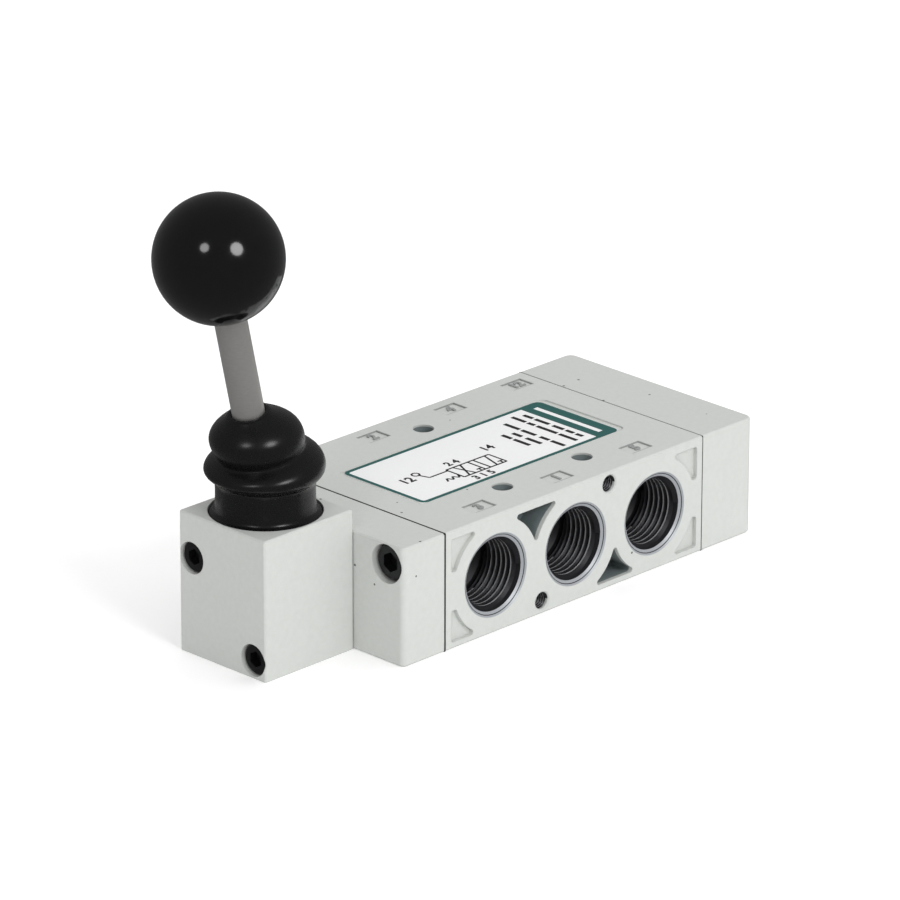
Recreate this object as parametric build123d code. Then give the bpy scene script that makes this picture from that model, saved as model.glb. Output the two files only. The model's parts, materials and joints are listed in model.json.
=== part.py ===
"""Hand lever air valve: a five-port, two-position spool valve worked by a ball-knob lever.

The die-cast body lies along X. The supply and exhaust ports open on its -Y face and the two working
ports on its +Y face. A lapped spool slides in a ported sleeve. At the -X end an adapter block holds the
return spring and carries the lever housing, where a lever on a cross pin moves a yoke on the spool's
stem. Lengths are in millimetres and angles in degrees. The origin is on the base, under the middle of
the body.
"""

from build123d import *
import math
import os

# Body casting and end blocks
body_width = 70.0
port_end_margin = 19.0
axis_to_top = 17.5
adapter_length = 15.4
end_cap_length = 20.5
adapter_gasket_thickness = 0.6
end_cap_gasket_thickness = 0.3
gasket_inset = 0.6
end_cap_corner_radius = 2.5
adapter_corner_radius = 1.5
edge_break = 0.4

# Ports
valve_axis_height = 16.5
port_pitch = 31.0
port_radius = 10.48
port_depth = 16.0
port_mouth_radius = 11.86
port_mouth_depth = 0.9
port_passage_radius = 7.0
gallery_radius = 14.0
gallery_width = 7.0

# Cored pockets in the port faces
pocket_depth = 8.0
corner_pocket_depth = 1.2
pocket_web = 4.1
pocket_end_rim = 2.1
pocket_top_rim = 2.5
pocket_bottom_rim = 1.8
pocket_rib = 6.0
pocket_end_web = 11.0
rear_pocket_depth = 7.5
pocket_corner_radius = 0.8

# Mounting holes and accessory screw holes
mounting_hole_radius = 2.95
front_mounting_inset = 12.8
rear_mounting_inset = 11.8
accessory_hole_radius = 2.4
accessory_hole_depth = 8.0
accessory_hole_edge = 3.7
accessory_hole_shift = 2.5
accessory_mouth_chamfer = 0.4

# Label recess, label and port number recesses on the top face
label_width = 31.3
label_left_margin = 11.1
label_right_margin = 12.5
label_thickness = 0.25
label_corner_radius = 2.0
label_recess_end_margin = 2.1
label_recess_side_margin = 0.3
label_recess_depth = 0.4
number_recess_length = 8.0
number_recess_width = 5.6
number_recess_depth = 0.4
front_number_inset = 7.4
rear_number_inset = 6.4
front_number_shifts = [1.0, 0.0, 0.0]
rear_number_shifts = [1.5, 0.5]
end_number_inset = 7.6

# Sleeve, spool and seals
bore_radius = 12.0
sleeve_fit = 0.02
sleeve_bore_radius = 8.0
sleeve_end_gap = 0.5
sleeve_window_radius = 2.5
sleeve_windows = 6
seal_groove_width = 2.6
seal_groove_depth = 1.8
seal_section_radius = 0.88
spool_fit = 0.02
spool_neck_radius = 4.5
spool_land_length = 4.8
spool_end_land_length = 5.0
spool_end_lap = 0.5
spool_thread_radius = 3.0
spool_thread_depth = 8.0

# Return spring in the adapter
spring_cavity_radius = 8.5
adapter_wall = 8.2
spring_seat_thickness = 0.8
spring_coil_radius = 6.2
spring_wire_radius = 0.6
spring_turns = 5.0
spring_end_gap = 0.05

# Stem and yoke
stem_radius = 4.0
stem_fit = 0.04
stem_bush_radius = 6.0
stem_bush_length = 5.0
stem_seal_section_radius = 0.98
stem_seal_groove_radius = 6.0
stem_seal_groove_width = 2.4
stem_seal_wall = 0.8
yoke_radius = 8.0
yoke_behind_slot = 3.4
yoke_before_slot = 3.9
yoke_slot_fit = 0.06
yoke_slot_floor = 12.0
yoke_thread_radius = 2.5
yoke_thread_length = 3.4
yoke_bore_radius = 8.5
yoke_bore_end_gap = 1.0
yoke_clearance = 0.5

# Lever housing
housing_length = 32.4
housing_width = 32.6
housing_height = 40.1
housing_gasket_thickness = 0.3
carrier_bore_radius = 13.2
carrier_fit = 0.05
carrier_flange_thickness = 3.5
carrier_seat_depth = 8.6
tower_radius = 10.4
tower_height = 12.5
tower_slot_half_width = 4.68
lever_slot_half_length = 10.0
lever_slot_half_width = 5.0
ring_thickness = 1.2
ring_groove_radius = 14.0
ring_inner_radius = 12.4
ring_gap = 4.0
ring_fit = 0.02

# Lever
pivot_rise = 7.5
lever_tilt = 12.6
finger_end_rise = 3.5
pivot_pin_radius = 2.5
pivot_pin_fit = 0.03
hub_radius = 7.0
hub_half_width = 4.6
hub_top = 13.5
hub_collar_radius = 6.5
hub_collar_start = 7.5
finger_radius = 3.0
finger_ball_radius = 4.0
rod_radius = 4.4
rod_spigot_radius = 3.2
rod_spigot_length = 8.0
knob_distance = 74.07
knob_radius = 17.5
knob_flat_radius = 5.75
knob_insert_radius = 5.0
knob_insert_length = 15.0
knob_thread_radius = 4.0
knob_thread_length = 13.0
inner_fit = 0.02

# Boot
boot_flange_radius = 15.3
boot_flange_thickness = 1.7
boot_seat_radius = 15.4
boot_seat_depth = 1.7
boot_wall = 1.2
boot_bend_rise = 5.5
boot_bend_length = 13.0
boot_ring_rises = [
    0.0, 4.0, 7.0, 8.6, 10.2, 11.8, 13.4, 15.0, 16.4, 17.6, 18.8, 20.6, 22.6, 24.6, 26.4, 28.0, 29.4, 30.2,
]
boot_ring_radii = [
    13.6, 13.4, 13.4, 14.6, 16.2, 16.4, 15.7, 13.6, 11.6, 11.3, 12.0, 12.7, 12.8, 12.2, 10.6, 8.2, 6.4, 5.6,
]
boot_rod_fit = 0.05

# Screws
large_screw_radius = 3.0
large_head_radius = 5.0
large_head_height = 6.0
large_socket_width = 5.0
large_counterbore_radius = 5.5
large_head_recess = 1.5
large_screw_grip = 8.0
large_screw_side_inset = 6.3
large_screw_top_inset = 5.9
large_screw_bottom_inset = 5.0
small_screw_radius = 2.5
small_head_radius = 4.25
small_head_height = 5.0
small_socket_width = 4.0
small_counterbore_radius = 4.5
small_head_recess = 1.0
small_screw_grip = 8.0
small_screw_side_inset = 4.7
small_screw_carrier_gap = 3.9
small_screw_bottom_inset = 5.1
socket_depth_share = 0.5
screw_fit = 0.03
screw_hole_clearance = 0.25
bumper_radius = 7.0
bumper_gap = 0.1
bumper_pocket_depth = 2.7

# Places worked out from the sizes above
body_half = port_pitch + port_end_margin
body_height = valve_axis_height + axis_to_top
pocket_web_radius = port_mouth_radius + pocket_web
side = body_width / 2
adapter_right = -body_half - adapter_gasket_thickness
adapter_left = adapter_right - adapter_length
end_cap_left = body_half + end_cap_gasket_thickness
end_cap_right = end_cap_left + end_cap_length
housing_right = adapter_left - housing_gasket_thickness
housing_left = housing_right - housing_length
lever_x = (housing_left + housing_right) / 2
carrier_floor_height = housing_height - carrier_seat_depth
carrier_top = carrier_floor_height + carrier_flange_thickness
tower_top = carrier_top + tower_height
pivot_height = carrier_top + pivot_rise
lever_arm = pivot_height - valve_axis_height - finger_end_rise
boot_bend_start = pivot_height + boot_bend_rise
boot_bend_end = boot_bend_start + boot_bend_length
yoke_x = lever_x + lever_arm * math.sin(math.radians(lever_tilt))
spool_stroke = 2 * lever_arm * math.sin(math.radians(lever_tilt))
front_ports = [-port_pitch, 0.0, port_pitch]
rear_ports = [-port_pitch / 2, port_pitch / 2]
port_row = [-port_pitch, -port_pitch / 2, 0.0, port_pitch / 2, port_pitch]
sleeve_left = -body_half + sleeve_end_gap
sleeve_right = body_half - sleeve_end_gap
large_screws = [
    (-side + large_screw_side_inset, body_height - large_screw_top_inset),
    (side - large_screw_side_inset, large_screw_bottom_inset),
]
small_screw_y = housing_width / 2 - small_screw_side_inset
small_screws = [
    (small_screw_y, carrier_floor_height - small_screw_carrier_gap),
    (-small_screw_y, small_screw_bottom_inset),
]
spring_seat_left = adapter_left + adapter_wall
spring_left = spring_seat_left + spring_seat_thickness
yoke_gap = finger_ball_radius + yoke_slot_fit
yoke_left = yoke_x - yoke_gap - yoke_behind_slot
yoke_right = yoke_x + yoke_gap + yoke_before_slot
spool_left_land_start = front_ports[0] - sleeve_window_radius - spool_end_lap - spool_end_land_length
spool_right_land_start = front_ports[-1] + sleeve_window_radius + spool_end_lap + spool_stroke
spool_right_land_end = spool_right_land_start + spool_end_land_length
label_left = -body_half + label_left_margin
label_right = body_half - label_right_margin
label_length = label_right - label_left
label_centre = (label_left + label_right) / 2
seal_right = spring_seat_left - stem_seal_wall
seal_left = seal_right - stem_seal_groove_width
knob_flat_drop = math.sqrt(knob_radius**2 - knob_flat_radius**2)
rod_start = hub_top
rod_end = knob_distance - knob_flat_drop


def block(x0, x1, y0, y1, z0, z1):
    """A box between two corners."""
    return Pos((x0 + x1) / 2, (y0 + y1) / 2, (z0 + z1) / 2) * Box(x1 - x0, y1 - y0, z1 - z0)


def rod_x(x0, x1, radius, y=0.0, z=valve_axis_height):
    """A round bar along X."""
    return Pos((x0 + x1) / 2, y, z) * Rot(0, 90, 0) * Cylinder(radius, x1 - x0)


def rod_y(y0, y1, radius, x, z):
    """A round bar along Y."""
    return Pos(x, (y0 + y1) / 2, z) * Rot(90, 0, 0) * Cylinder(radius, y1 - y0)


def rod_z(z0, z1, radius, x=0.0, y=0.0):
    """A round bar along Z."""
    return Pos(x, y, (z0 + z1) / 2) * Cylinder(radius, z1 - z0)


def ring_x(x0, x1, outer, inner):
    """A round tube along the valve axis."""
    return rod_x(x0, x1, outer) - rod_x(x0, x1, inner)


def on_lever(shape):
    """Moves a shape drawn along +Z from the pivot onto the lever's rest axis."""
    return Pos(lever_x, 0, pivot_height) * Rot(0, -lever_tilt, 0) * shape


def socket_screw(head_radius, head_height, shank_radius, length, socket_width):
    """A socket head cap screw: the head's top is at the origin and the shank runs down -Z."""
    head = Pos(0, 0, -head_height / 2) * Cylinder(head_radius, head_height)
    head = chamfer(head.edges().group_by(Axis.Z)[-1], edge_break)
    shank = Pos(0, 0, -head_height - length / 2) * Cylinder(shank_radius, length)
    depth = head_height * socket_depth_share
    hexagon = RegularPolygon(socket_width / 2, 6, major_radius=False)
    return head + shank - Pos(0, 0, -depth) * extrude(hexagon, depth)


def tapped_port(x, face):
    """The cutter for one port: mouth chamfer, tapped length and passage to the bore; face is -1 or 1."""
    profile = Polyline(
        (0, 0),
        (port_mouth_radius, 0),
        (port_radius, port_mouth_depth),
        (port_radius, port_depth),
        (port_passage_radius, port_depth + port_radius - port_passage_radius),
        (port_passage_radius, side),
        (0, side),
        close=True,
    )
    cutter = revolve(make_face(Plane.XZ * profile), Axis.Z)
    return Pos(x, face * side, valve_axis_height) * Rot(face * 90, 0, 0) * cutter


def face_pockets(face):
    """The cored pockets of a port face: what lies inside its rim and outside the webs and bosses."""
    ports = front_ports if face < 0 else rear_ports
    length = 2 * (body_half - pocket_end_rim)
    height = body_height - pocket_top_rim - pocket_bottom_rim
    outline = Pos(0, pocket_bottom_rim + height / 2) * Rectangle(length, height)
    outline -= Pos(0, valve_axis_height) * Rectangle(length, pocket_rib)
    for x in ports:
        outline -= Pos(x, valve_axis_height) * Circle(pocket_web_radius)
        outline -= Pos(x, body_height / 2) * Rectangle(pocket_rib, body_height)
    beyond = 2 * (body_half - ports[-1])
    for end in (-1, 1):
        outline -= Pos(end * body_half, valve_axis_height) * Rectangle(beyond, pocket_end_web)
    if face < 0:
        outline -= Pos(-port_pitch / 2, valve_axis_height / 2) * Rectangle(port_pitch, valve_axis_height)
        middle = valve_axis_height + axis_to_top / 2
        outline -= Pos(port_pitch / 2, middle) * Rectangle(port_pitch, axis_to_top)
    between = pocket_depth if face < 0 else rear_pocket_depth
    cutters = []
    for region in outline.faces():
        depth = between if abs(region.center().X) < ports[-1] else corner_pocket_depth
        inner = offset(region, -pocket_corner_radius)
        flat = offset(inner, pocket_corner_radius, kind=Kind.ARC)
        back = -side + depth if face < 0 else side
        cutters.append(Pos(0, back, 0) * Rot(90, 0, 0) * extrude(flat, depth))
    return cutters


def valve_body():
    """The casting: bore and galleries, five ports, pockets, mounting holes and top recesses."""
    solid = block(-body_half, body_half, -side, side, 0, body_height)
    solid = chamfer(solid.edges().filter_by(Axis.X), edge_break)
    solid -= rod_x(-body_half, body_half, bore_radius)
    for x in port_row:
        solid -= rod_x(x - gallery_width / 2, x + gallery_width / 2, gallery_radius)
    for face, ports in ((-1, front_ports), (1, rear_ports)):
        for x in ports:
            solid -= tapped_port(x, face)
    for face in (-1, 1):
        for cutter in face_pockets(face):
            solid -= cutter
    for x, y in mounting_points():
        solid -= rod_z(0, body_height, mounting_hole_radius, x, y)
    for x, z in accessory_points():
        hole = rod_y(-side, -side + accessory_hole_depth, accessory_hole_radius, x, z)
        mouth_radius = accessory_hole_radius + accessory_mouth_chamfer
        mouth = Cone(mouth_radius, accessory_hole_radius, accessory_mouth_chamfer)
        solid -= hole
        solid -= Pos(x, -side + accessory_mouth_chamfer / 2, z) * Rot(-90, 0, 0) * mouth
    solid -= label_recess()
    for x, y in number_points():
        floor = body_height - number_recess_depth
        solid -= block(
            x - number_recess_length / 2,
            x + number_recess_length / 2,
            y - number_recess_width / 2,
            y + number_recess_width / 2,
            floor,
            body_height,
        )
    for y, z in large_screws:
        radius = large_screw_radius + screw_fit
        grip = large_screw_grip + end_cap_gasket_thickness
        solid -= rod_x(-body_half, -body_half + grip, radius, y, z)
        solid -= rod_x(body_half - grip, body_half, radius, y, z)
    return solid


def mounting_points():
    """The three vertical through holes: two between the front ports, one between the rear ports."""
    front = -side + front_mounting_inset
    return [(-port_pitch / 2, front), (port_pitch / 2, front), (0.0, side - rear_mounting_inset)]


def accessory_points():
    """The two tapped holes in the front face, opposite the cored triangles."""
    half = port_pitch / 2 - accessory_hole_shift
    return [(-half, accessory_hole_edge), (half, body_height - accessory_hole_edge)]


def number_points():
    """Centres of the port number recesses on the top face."""
    front = [(x + dx, -side + front_number_inset) for x, dx in zip(front_ports, front_number_shifts)]
    rear = [(x + dx, side - rear_number_inset) for x, dx in zip(rear_ports, rear_number_shifts)]
    return front + rear + [(body_half - end_number_inset, side - rear_number_inset)]


def label_recess():
    """The shallow recess that the label lies in."""
    length = label_length + 2 * label_recess_end_margin
    width = label_width + 2 * label_recess_side_margin
    outline = RectangleRounded(length, width, label_corner_radius)
    return Pos(label_centre, 0, body_height - label_recess_depth) * extrude(outline, label_recess_depth)


def label_plate():
    """The printed label, lying in its recess."""
    outline = RectangleRounded(label_length, label_width, label_corner_radius)
    return Pos(label_centre, 0, body_height - label_recess_depth) * extrude(outline, label_thickness)


def end_cap():
    """The blind cap at the +X end, with the bumper's pocket and two counterbored holes."""
    solid = block(end_cap_left, end_cap_right, -side, side, 0, body_height)
    outer = solid.edges().filter_by(Axis.Z).group_by(Axis.X)[-1]
    solid = fillet(outer, end_cap_corner_radius)
    solid = chamfer(solid.faces().sort_by(Axis.X)[-1].edges().filter_by(Axis.Y), edge_break)
    solid -= rod_x(end_cap_left, end_cap_left + bumper_pocket_depth, bumper_radius + inner_fit)
    for y, z in large_screws:
        head = end_cap_right - large_head_recess - large_head_height
        solid -= rod_x(end_cap_left, end_cap_right, large_screw_radius + screw_hole_clearance, y, z)
        solid -= rod_x(head, end_cap_right, large_counterbore_radius, y, z)
    return solid


def gasket(x, thickness, screw_holes, width, height, bore):
    """A flat gasket between two blocks, set in a little from their outline."""
    half = width / 2 - gasket_inset
    solid = block(x, x + thickness, -half, half, gasket_inset, height - gasket_inset)
    solid -= rod_x(x, x + thickness, bore)
    for y, z, radius in screw_holes:
        solid -= rod_x(x, x + thickness, radius + screw_hole_clearance, y, z)
    return solid


def end_cap_gasket():
    """The gasket between the body and the end cap."""
    holes = [(y, z, large_screw_radius) for y, z in large_screws]
    return gasket(body_half, end_cap_gasket_thickness, holes, body_width, body_height, bore_radius)


def adapter_gasket():
    """The gasket between the body and the adapter."""
    holes = [(y, z, large_screw_radius) for y, z in large_screws]
    bore = max(bore_radius, spring_cavity_radius)
    return gasket(adapter_right, adapter_gasket_thickness, holes, body_width, body_height, bore)


def housing_gasket():
    """The gasket between the adapter and the lever housing."""
    holes = [(y, z, small_screw_radius) for y, z in small_screws]
    bore = stem_bush_radius + stem_fit
    return gasket(housing_right, housing_gasket_thickness, holes, housing_width, body_height, bore)


def operator_adapter():
    """The block that closes the body's -X end: spring cavity, stem wall and both sets of screw holes."""
    solid = block(adapter_left, adapter_right, -side, side, 0, body_height)
    outer = solid.edges().filter_by(Axis.Z).group_by(Axis.X)[0]
    solid = fillet(outer, adapter_corner_radius)
    solid = chamfer(solid.faces().sort_by(Axis.X)[0].edges().filter_by(Axis.Y), edge_break)
    solid -= rod_x(spring_seat_left, adapter_right, spring_cavity_radius)
    solid -= rod_x(adapter_left, spring_seat_left, stem_radius + screw_hole_clearance)
    solid -= rod_x(adapter_left, adapter_left + stem_bush_length - yoke_clearance, stem_bush_radius)
    solid -= rod_x(seal_left, seal_right, stem_seal_groove_radius)
    for y, z in large_screws:
        head = adapter_left + large_head_recess + large_head_height
        solid -= rod_x(adapter_left, adapter_right, large_screw_radius + screw_hole_clearance, y, z)
        solid -= rod_x(adapter_left, head, large_counterbore_radius, y, z)
    for y, z in small_screws:
        solid -= rod_x(adapter_left, adapter_left + small_screw_grip, small_screw_radius + screw_fit, y, z)
    return solid


def lever_housing():
    """The lever block: carrier seat and lever slot from above, yoke bore from the adapter's side."""
    half = housing_width / 2
    solid = block(housing_left, housing_right, -half, half, 0, housing_height)
    solid = chamfer(solid.edges().filter_by(Axis.Z).group_by(Axis.X)[0], edge_break)
    solid = chamfer(solid.faces().sort_by(Axis.Z)[-1].edges(), edge_break)
    solid -= rod_z(carrier_floor_height, housing_height, carrier_bore_radius, lever_x)
    solid -= rod_z(carrier_top, carrier_top + ring_thickness + 2 * ring_fit, ring_groove_radius, lever_x)
    solid -= rod_z(housing_height - boot_seat_depth, housing_height, boot_seat_radius, lever_x)
    bore_end = yoke_left - spool_stroke - yoke_bore_end_gap
    solid -= rod_x(bore_end, housing_right, yoke_bore_radius)
    solid -= block(
        lever_x - lever_slot_half_length,
        lever_x + lever_slot_half_length,
        -lever_slot_half_width,
        lever_slot_half_width,
        valve_axis_height,
        carrier_floor_height,
    )
    for y, z in small_screws:
        head = housing_left + small_head_recess + small_head_height
        solid -= rod_x(housing_left, housing_right, small_screw_radius + screw_hole_clearance, y, z)
        solid -= rod_x(housing_left, head, small_counterbore_radius, y, z)
    return solid


def end_cap_screws():
    """The two cap screws of the end cap."""
    length = end_cap_right - large_head_recess - large_head_height - body_half + large_screw_grip
    screw = socket_screw(large_head_radius, large_head_height, large_screw_radius, length, large_socket_width)
    return [Pos(end_cap_right - large_head_recess, y, z) * Rot(0, 90, 0) * screw for y, z in large_screws]


def adapter_screws():
    """The two cap screws that hold the adapter to the body."""
    length = -body_half + large_screw_grip - (adapter_left + large_head_recess + large_head_height)
    screw = socket_screw(large_head_radius, large_head_height, large_screw_radius, length, large_socket_width)
    return [Pos(adapter_left + large_head_recess, y, z) * Rot(0, -90, 0) * screw for y, z in large_screws]


def housing_screws():
    """The two cap screws that hold the lever housing to the adapter."""
    length = adapter_left + small_screw_grip - (housing_left + small_head_recess + small_head_height)
    screw = socket_screw(small_head_radius, small_head_height, small_screw_radius, length, small_socket_width)
    return [Pos(housing_left + small_head_recess, y, z) * Rot(0, -90, 0) * screw for y, z in small_screws]


def seal_points():
    """Places of the sleeve's seals: one each side of every port."""
    half = port_pitch / 4
    return [port_row[0] - half] + [x + half for x in port_row]


def valve_sleeve():
    """The ported sleeve: a ring of windows at each port and a seal groove between them."""
    solid = ring_x(sleeve_left, sleeve_right, bore_radius - sleeve_fit, sleeve_bore_radius)
    outer = bore_radius + sleeve_fit
    for x in seal_points():
        floor = bore_radius - seal_groove_depth
        solid -= ring_x(x - seal_groove_width / 2, x + seal_groove_width / 2, outer, floor)
    window = rod_z(0, outer, sleeve_window_radius)
    for x in port_row:
        for k in range(sleeve_windows):
            solid -= Pos(x, 0, valve_axis_height) * Rot(360 / sleeve_windows * k, 0, 0) * window
    return solid


def sleeve_seals():
    """The sleeve's O-rings, squeezed to the space between groove floor and bore."""
    centre = bore_radius - seal_groove_depth / 2
    ring = Torus(centre, seal_section_radius)
    return [Pos(x, 0, valve_axis_height) * Rot(0, 90, 0) * ring for x in seal_points()]


def spool_profile():
    """Radius of the spool's lands, and the start and end of each at rest."""
    land = sleeve_bore_radius - spool_fit
    stretches = [(spool_left_land_start, spool_left_land_start + spool_end_land_length)]
    left = rear_ports[0] + sleeve_window_radius
    right = rear_ports[1] + sleeve_window_radius
    stretches.append((left, left + spool_land_length))
    stretches.append((right, right + spool_land_length))
    stretches.append((spool_right_land_start, spool_right_land_end))
    return land, stretches


def spool():
    """The spool: two end lands and two working lands on a thin neck, tapped at the stem's end."""
    land, stretches = spool_profile()
    solid = rod_x(spool_left_land_start, spool_right_land_end, spool_neck_radius)
    for start, end in stretches:
        solid += rod_x(start, end, land)
    depth = spool_left_land_start + spool_thread_depth + inner_fit
    return solid - rod_x(spool_left_land_start, depth, spool_thread_radius + inner_fit)


def spring_seat():
    """The hardened washer at the fixed end of the return spring."""
    outer = spring_cavity_radius - sleeve_fit
    return ring_x(spring_seat_left, spring_left, outer, stem_radius + screw_hole_clearance)


def return_spring():
    """The return spring at rest, between its seat and the spool's end."""
    margin = spring_wire_radius + spring_end_gap
    length = spool_left_land_start - spring_left - 2 * margin
    path = Helix(length / spring_turns, length, spring_coil_radius)
    start = Plane(origin=path @ 0, z_dir=path % 0)
    coil = sweep(start * Circle(spring_wire_radius), path, is_frenet=True)
    return Pos(spring_left + margin, 0, valve_axis_height) * Rot(0, 90, 0) * coil


def stem():
    """The stem from the yoke to the spool, with a threaded spigot at each end."""
    solid = rod_x(yoke_right, spool_left_land_start, stem_radius)
    solid += rod_x(yoke_right - yoke_thread_length, yoke_right, yoke_thread_radius)
    end = spool_left_land_start + spool_thread_depth
    return solid + rod_x(spool_left_land_start, end, spool_thread_radius)


def yoke():
    """The round head on the stem, slotted across for the lever's ball end."""
    solid = rod_x(yoke_left, yoke_right, yoke_radius)
    top = valve_axis_height + yoke_radius
    solid -= block(yoke_x - yoke_gap, yoke_x + yoke_gap, -yoke_radius, yoke_radius, yoke_slot_floor, top)
    depth = yoke_thread_length + inner_fit
    return solid - rod_x(yoke_right - depth, yoke_right, yoke_thread_radius + inner_fit)


def stem_bush():
    """The bronze bush that guides the stem."""
    outer = stem_bush_radius - inner_fit
    end = adapter_left + stem_bush_length - yoke_clearance
    return ring_x(adapter_left, end, outer, stem_radius + stem_fit)


def stem_seal():
    """The O-ring round the stem, squeezed into its groove."""
    centre = (stem_radius + stem_seal_groove_radius) / 2
    ring = Torus(centre, stem_seal_section_radius)
    return Pos((seal_left + seal_right) / 2, 0, valve_axis_height) * Rot(0, 90, 0) * ring


def spool_bumper():
    """The rubber disc in the end cap that the spool's end rests against."""
    start = spool_right_land_end + bumper_gap
    return rod_x(start, end_cap_left + bumper_pocket_depth - bumper_gap, bumper_radius)


def lever_carrier():
    """The pivot carrier: a flange in the housing and a slotted tower that holds the cross pin."""
    solid = rod_z(carrier_floor_height, carrier_top, carrier_bore_radius - carrier_fit, lever_x)
    solid += rod_z(carrier_top, tower_top, tower_radius, lever_x)
    solid -= block(
        lever_x - lever_slot_half_length,
        lever_x + lever_slot_half_length,
        -tower_slot_half_width,
        tower_slot_half_width,
        carrier_floor_height,
        carrier_top,
    )
    solid -= block(
        lever_x - tower_radius,
        lever_x + tower_radius,
        -tower_slot_half_width,
        tower_slot_half_width,
        carrier_top,
        tower_top,
    )
    return solid - rod_y(-tower_radius, tower_radius, pivot_pin_radius + inner_fit, lever_x, pivot_height)


def carrier_ring():
    """The internal retaining ring over the carrier's flange, open at its lug gap."""
    floor = carrier_top + ring_fit
    outer = ring_groove_radius - ring_fit
    solid = rod_z(floor, floor + ring_thickness, outer, lever_x)
    solid -= rod_z(floor, floor + ring_thickness, ring_inner_radius, lever_x)
    gap = ring_gap / 2
    return solid - block(lever_x, lever_x + outer, -gap, gap, floor, floor + ring_thickness)


def pivot_pin():
    """The cross pin that the lever turns on."""
    half = math.sqrt(tower_radius**2 - pivot_pin_radius**2)
    pin = rod_y(-half, half, pivot_pin_radius, lever_x, pivot_height)
    return chamfer(pin.edges().filter_by(GeomType.CIRCLE), edge_break)


def lever_hub():
    """The lever's lower part: a flat-sided boss on the pin, a collar for the rod and a ball-ended finger."""
    solid = Rot(90, 0, 0) * Cylinder(hub_radius, 2 * hub_half_width)
    neck = hub_collar_start
    solid += Pos(0, 0, neck / 2) * Box(2 * hub_collar_radius, 2 * hub_half_width, neck)
    solid += Pos(0, 0, (neck + hub_top) / 2) * Cylinder(hub_collar_radius, hub_top - neck)
    solid += Pos(0, 0, -lever_arm / 2) * Cylinder(finger_radius, lever_arm)
    solid += Pos(0, 0, -lever_arm) * Sphere(finger_ball_radius)
    solid -= Rot(90, 0, 0) * Cylinder(pivot_pin_radius + pivot_pin_fit, 2 * hub_half_width)
    depth = rod_spigot_length + inner_fit
    solid -= Pos(0, 0, hub_top - depth / 2) * Cylinder(rod_spigot_radius + inner_fit, depth)
    return on_lever(solid)


def lever_rod():
    """The stainless rod, with a threaded spigot at each end."""
    rod = Pos(0, 0, (rod_start + rod_end) / 2) * Cylinder(rod_radius, rod_end - rod_start)
    rod += Pos(0, 0, rod_start - rod_spigot_length / 2) * Cylinder(rod_spigot_radius, rod_spigot_length)
    rod += Pos(0, 0, rod_end + knob_thread_length / 2) * Cylinder(knob_thread_radius, knob_thread_length)
    return on_lever(rod)


def ball_knob():
    """The moulded ball, flat where the rod enters and bored for its insert."""
    ball = Sphere(knob_radius)
    reach = 2 * knob_radius
    ball -= Pos(0, 0, -knob_flat_drop - knob_radius) * Box(reach, reach, 2 * knob_radius)
    bore = Cylinder(knob_insert_radius, knob_insert_length)
    ball -= Pos(0, 0, -knob_flat_drop + knob_insert_length / 2) * bore
    return on_lever(Pos(0, 0, knob_distance) * ball)


def knob_insert():
    """The threaded brass insert moulded into the knob."""
    insert = Cylinder(knob_insert_radius - inner_fit, knob_insert_length - inner_fit)
    depth = knob_thread_length + inner_fit
    offset = (knob_insert_length - inner_fit - depth) / 2
    insert -= Pos(0, 0, -offset) * Cylinder(knob_thread_radius + inner_fit, depth)
    return on_lever(Pos(0, 0, rod_end + (knob_insert_length - inner_fit) / 2) * insert)


def boot_sections():
    """Height above the base and outer radius of the boot's rings, with the lever upright."""
    return [(housing_height + rise, radius) for rise, radius in zip(boot_ring_rises, boot_ring_radii)]


def bent_ring(height, radius):
    """A circle round the lever's axis, turned about the pivot by the boot's bend at that height."""
    share = (height - boot_bend_start) / (boot_bend_end - boot_bend_start)
    share = min(max(share, 0.0), 1.0)
    angle = -lever_tilt * share * share * (3 - 2 * share)
    place = Pos(lever_x, 0, pivot_height) * Rot(0, angle, 0) * Pos(0, 0, height - pivot_height)
    return place * Circle(radius)


def boot():
    """The rubber bellows between the housing and the rod, bent with the lever."""
    sections = boot_sections()
    shell = boot_ring(sections[0], sections[1])
    for low, high in zip(sections[1:-1], sections[2:]):
        shell += boot_ring(low, high)
    bottom = housing_height - boot_seat_depth
    flange = rod_z(bottom, housing_height, boot_flange_radius, lever_x)
    flange -= rod_z(bottom, housing_height, sections[0][1] - boot_wall, lever_x)
    return flange + shell


def boot_ring(low, high):
    """One ring of the boot's wall between two heights."""
    outer = loft([bent_ring(*low), bent_ring(*high)])
    inner = loft([bent_ring(z, max(r - boot_wall, rod_radius + boot_rod_fit)) for z, r in (low, high)])
    return outer - inner


pieces = {
    "valve_body": valve_body,
    "end_cap": end_cap,
    "end_cap_gasket": end_cap_gasket,
    "end_cap_screws": end_cap_screws,
    "operator_adapter": operator_adapter,
    "adapter_gasket": adapter_gasket,
    "adapter_screws": adapter_screws,
    "lever_housing": lever_housing,
    "housing_gasket": housing_gasket,
    "housing_screws": housing_screws,
    "valve_sleeve": valve_sleeve,
    "sleeve_seals": sleeve_seals,
    "spool": spool,
    "spring_seat": spring_seat,
    "return_spring": return_spring,
    "stem": stem,
    "yoke": yoke,
    "stem_bush": stem_bush,
    "stem_seal": stem_seal,
    "spool_bumper": spool_bumper,
    "lever_carrier": lever_carrier,
    "carrier_ring": carrier_ring,
    "pivot_pin": pivot_pin,
    "lever_hub": lever_hub,
    "lever_rod": lever_rod,
    "ball_knob": ball_knob,
    "knob_insert": knob_insert,
    "boot": boot,
    "label_plate": label_plate,
}

os.makedirs("parts", exist_ok=True)
for name, make in pieces.items():
    made = make()
    shape = Compound(made) if isinstance(made, list) else made
    export_step(shape, f"parts/{name}.step")
print("lever x", lever_x, "pivot z", pivot_height, "stroke", spool_stroke, "yoke x", yoke_x, "yoke", yoke_left, yoke_right)
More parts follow.
